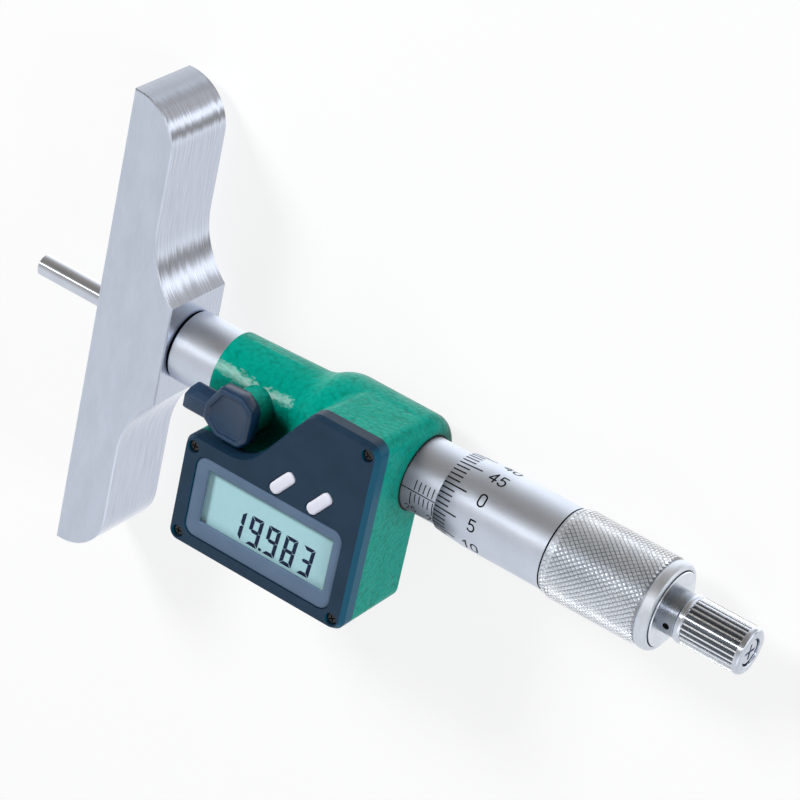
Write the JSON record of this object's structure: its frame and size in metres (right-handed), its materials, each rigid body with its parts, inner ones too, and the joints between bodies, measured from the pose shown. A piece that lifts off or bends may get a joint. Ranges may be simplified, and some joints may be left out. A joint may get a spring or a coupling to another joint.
{
  "type": "digital depth micrometer",
  "caption": "Digital depth micrometer: flat steel base, measuring rod, green enamelled body with display and keys, lock lever, graduated knurled thimble and ratchet.",
  "frame": {"origin": "centre of the base's measuring face, on the spindle axis", "axes": "+X along the spindle from the measuring face to the ratchet, +Y along the base, +Z out of the display"},
  "size_m": [0.1666, 0.1016, 0.0292],
  "materials": {
    "ground_steel": "ground and lapped, satin",
    "polished_steel": "hard polished",
    "satin_chrome": "satin chrome plate",
    "green_enamel": "glossy hammertone enamel",
    "cover_plastic": "moulded, fine matte",
    "window_frame": "satin",
    "clear_window": "clear acrylic",
    "display_glass": "reflective display, dark segments",
    "pale_keys": "moulded, satin",
    "lever_plastic": "moulded, fine matte",
    "black_steel": "black oxide",
    "black_rubber": "moulded seal",
    "key_silicone": "silicone",
    "bearing_brass": "turned",
    "board": "solder mask over glass-epoxy",
    "encoder_disc": "plated laminate",
    "spring_steel": "bright wire and strip",
    "cell_steel": "nickel plated"
  },
  "bodies": {
    "frame": {"base_bar": "ground_steel", "front_barrel": "satin_chrome", "front_seal": "black_rubber", "housing": "green_enamel", "cover_gasket": "black_rubber", "display_cover": "cover_plastic", "window_frame": "window_frame", "window_lens": "clear_window", "lcd_panel": "display_glass", "contact_strip": "black_rubber", "circuit_board": "board", "key_mat": "key_silicone", "cover_screws": "black_steel", "lock_shoe": "bearing_brass", "thrust_washer": "bearing_brass", "encoder_stator": "encoder_disc", "inner_sleeve": "polished_steel", "adjusting_nut": "polished_steel", "graduated_sleeve": "satin_chrome", "sleeve_seal": "black_rubber", "battery": "cell_steel", "battery_contact": "spring_steel", "battery_cap": "cover_plastic", "battery_seal": "black_rubber"},
    "encoder": {"rotor_bush": "bearing_brass", "encoder_rotor": "encoder_disc"},
    "spindle": {"spindle": "polished_steel", "measuring_rod": "polished_steel", "rod_nuts": "polished_steel", "thimble": "satin_chrome", "thimble_cap": "satin_chrome", "ratchet_ring": "bearing_brass", "ratchet_spring": "spring_steel", "ratchet_screw": "polished_steel"},
    "ratchet": {"ratchet_knob": "satin_chrome"},
    "lock": {"lock_lever": "lever_plastic", "lock_screw": "black_steel"},
    "set_key": {"set_button": "pale_keys"},
    "data_key": {"data_button": "pale_keys"}
  },
  "joints": [
    {"name": "thimble_turn", "type": "hinge", "parent": "frame", "child": "encoder", "pos_m": [0, 0, 0], "axis": [-1, 0, 0], "range_deg": [-14387, 3616]},
    {"name": "spindle_feed", "type": "slide", "parent": "encoder", "child": "spindle", "axis": [-1, 0, 0], "range_m": [-0.01998, 0.00502]},
    {"name": "ratchet_turn", "type": "hinge", "parent": "spindle", "child": "ratchet", "pos_m": [0.135, 0, 0], "axis": [-1, 0, 0], "continuous": true},
    {"name": "lock_turn", "type": "hinge", "parent": "frame", "child": "lock", "pos_m": [0.0395, 0, 0], "axis": [0, 0, 1], "range_deg": [-60, 0]},
    {"name": "set_press", "type": "slide", "parent": "frame", "child": "set_key", "axis": [0, 0, -1], "range_m": [0, 0.0005], "stiffness_N_per_m": 1500},
    {"name": "data_press", "type": "slide", "parent": "frame", "child": "data_key", "axis": [0, 0, -1], "range_m": [0, 0.0005], "stiffness_N_per_m": 1500}
  ],
  "couplings": [
    {"joint": "thimble_turn", "follows": "spindle_feed", "rad_per_m": 12566}
  ]
}
